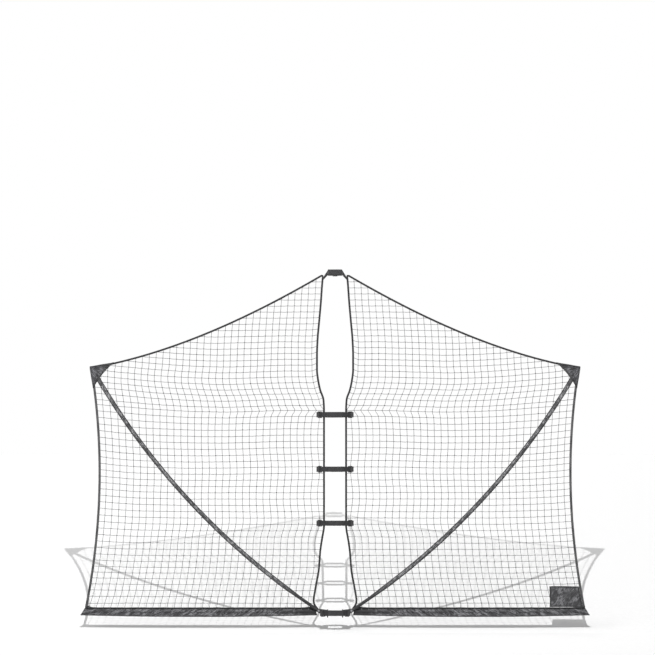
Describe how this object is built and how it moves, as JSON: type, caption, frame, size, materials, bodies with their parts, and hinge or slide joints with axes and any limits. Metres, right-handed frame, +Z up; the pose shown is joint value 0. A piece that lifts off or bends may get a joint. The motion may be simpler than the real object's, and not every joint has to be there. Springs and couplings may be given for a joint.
{
  "type": "basketball return net",
  "caption": "Folding basketball return net: two mesh wings on hinged arms and bowed spars, strapped round a square goal pole with cam buckles.",
  "frame": {"origin": "on the axis of the square pole that the net is strapped to, level with the middle of the base strap, in the plane of the wings", "axes": "+X along the wings to the right seen from the court, +Y away from the court, +Z up along the pole"},
  "size_m": [3.752, 0.1091, 2.5685],
  "materials": {
    "black_fabric": "matte woven polyester, wrinkled",
    "black_webbing": "matte woven webbing",
    "black_cord": "matte braided cord",
    "grey_twine": "matte knotted twine",
    "black_plastic": "moulded, satin",
    "black_rubber": "matte",
    "dark_fibreglass": "smooth pultruded rod",
    "zinc_steel": "zinc plated"
  },
  "bodies": {
    "pole_side": {"left_hub": "black_plastic", "left_fold_pin": "zinc_steel", "left_edge_cord": "black_cord", "left_net": "grey_twine", "right_hub": "black_plastic", "right_fold_pin": "zinc_steel", "right_edge_cord": "black_cord", "right_net": "grey_twine", "base_strap_front": "black_webbing", "base_strap_back": "black_webbing", "left_base_buckle": "black_plastic", "right_base_buckle": "black_plastic", "lower_strap_front": "black_webbing", "lower_strap_back": "black_webbing", "left_lower_buckle": "black_plastic", "right_lower_buckle": "black_plastic", "middle_strap_front": "black_webbing", "middle_strap_back": "black_webbing", "left_middle_buckle": "black_plastic", "right_middle_buckle": "black_plastic", "upper_strap_front": "black_webbing", "upper_strap_back": "black_webbing", "left_upper_buckle": "black_plastic", "right_upper_buckle": "black_plastic", "top_strap": "black_webbing", "top_strap_slide": "black_plastic", "left_corner_tab": "black_webbing", "right_corner_tab": "black_webbing"},
    "left_arm": {"left_arm_socket": "black_plastic", "left_arm_rod_inner": "dark_fibreglass", "left_arm_rod_outer": "dark_fibreglass", "left_arm_end_cap": "black_rubber", "left_bottom_band": "black_fabric"},
    "left_spar": {"left_spar_socket": "black_plastic", "left_spar_rod_inner": "dark_fibreglass", "left_spar_rod_outer": "dark_fibreglass", "left_spar_end_cap": "black_rubber", "left_spar_sleeve": "black_fabric", "left_corner_pocket": "black_fabric"},
    "right_arm": {"right_arm_socket": "black_plastic", "right_arm_rod_inner": "dark_fibreglass", "right_arm_rod_outer": "dark_fibreglass", "right_arm_end_cap": "black_rubber", "right_bottom_band": "black_fabric", "right_patch": "black_fabric"},
    "right_spar": {"right_spar_socket": "black_plastic", "right_spar_rod_inner": "dark_fibreglass", "right_spar_rod_outer": "dark_fibreglass", "right_spar_end_cap": "black_rubber", "right_spar_sleeve": "black_fabric", "right_corner_pocket": "black_fabric"},
    "left_base_lever": {"left_base_cam_lever": "black_plastic"},
    "right_base_lever": {"right_base_cam_lever": "black_plastic"},
    "left_lower_lever": {"left_lower_cam_lever": "black_plastic"},
    "right_lower_lever": {"right_lower_cam_lever": "black_plastic"},
    "left_middle_lever": {"left_middle_cam_lever": "black_plastic"},
    "right_middle_lever": {"right_middle_cam_lever": "black_plastic"},
    "left_upper_lever": {"left_upper_cam_lever": "black_plastic"},
    "right_upper_lever": {"right_upper_cam_lever": "black_plastic"}
  },
  "joints": [
    {"name": "left_arm_fold", "type": "hinge", "parent": "pole_side", "child": "left_arm", "pos_m": [-0.12, 0, 0.018], "axis": [0, 1, 0], "range_deg": [0, 80], "deforming": ["left_net", "left_edge_cord"]},
    {"name": "left_spar_fold", "type": "hinge", "parent": "pole_side", "child": "left_spar", "pos_m": [-0.12, 0, 0.018], "axis": [0, 1, 0], "range_deg": [0, 37]},
    {"name": "right_arm_fold", "type": "hinge", "parent": "pole_side", "child": "right_arm", "pos_m": [0.12, 0, 0.018], "axis": [0, -1, 0], "range_deg": [0, 80], "deforming": ["right_net", "right_edge_cord"]},
    {"name": "right_spar_fold", "type": "hinge", "parent": "pole_side", "child": "right_spar", "pos_m": [0.12, 0, 0.018], "axis": [0, -1, 0], "range_deg": [0, 37]},
    {"name": "left_base_lever_lift", "type": "hinge", "parent": "pole_side", "child": "left_base_lever", "pos_m": [-0.093, -0.0368, 0], "axis": [0, 0, 1], "range_deg": [0, 85], "stiffness_Nm_per_rad": 0.05, "springref_deg": -20.05},
    {"name": "right_base_lever_lift", "type": "hinge", "parent": "pole_side", "child": "right_base_lever", "pos_m": [0.093, -0.0368, 0], "axis": [0, 0, -1], "range_deg": [0, 85], "stiffness_Nm_per_rad": 0.05, "springref_deg": -20.05},
    {"name": "left_lower_lever_lift", "type": "hinge", "parent": "pole_side", "child": "left_lower_lever", "pos_m": [-0.1181, -0.01805, 0.662], "axis": [0, 0, 1], "range_deg": [0, 85], "stiffness_Nm_per_rad": 0.05, "springref_deg": -20.05},
    {"name": "right_lower_lever_lift", "type": "hinge", "parent": "pole_side", "child": "right_lower_lever", "pos_m": [0.1181, -0.01805, 0.662], "axis": [0, 0, -1], "range_deg": [0, 85], "stiffness_Nm_per_rad": 0.05, "springref_deg": -20.05},
    {"name": "left_middle_lever_lift", "type": "hinge", "parent": "pole_side", "child": "left_middle_lever", "pos_m": [-0.1181, -0.01805, 1.06], "axis": [0, 0, 1], "range_deg": [0, 85], "stiffness_Nm_per_rad": 0.05, "springref_deg": -20.05},
    {"name": "right_middle_lever_lift", "type": "hinge", "parent": "pole_side", "child": "right_middle_lever", "pos_m": [0.1181, -0.01805, 1.06], "axis": [0, 0, -1], "range_deg": [0, 85], "stiffness_Nm_per_rad": 0.05, "springref_deg": -20.05},
    {"name": "left_upper_lever_lift", "type": "hinge", "parent": "pole_side", "child": "left_upper_lever", "pos_m": [-0.1181, -0.01805, 1.462], "axis": [0, 0, 1], "range_deg": [0, 85], "stiffness_Nm_per_rad": 0.05, "springref_deg": -20.05},
    {"name": "right_upper_lever_lift", "type": "hinge", "parent": "pole_side", "child": "right_upper_lever", "pos_m": [0.1181, -0.01805, 1.462], "axis": [0, 0, -1], "range_deg": [0, 85], "stiffness_Nm_per_rad": 0.05, "springref_deg": -20.05}
  ],
  "couplings": [
    {"joint": "left_spar_fold", "follows": "left_arm_fold", "ratio": 0.4625},
    {"joint": "right_spar_fold", "follows": "right_arm_fold", "ratio": 0.4625}
  ]
}
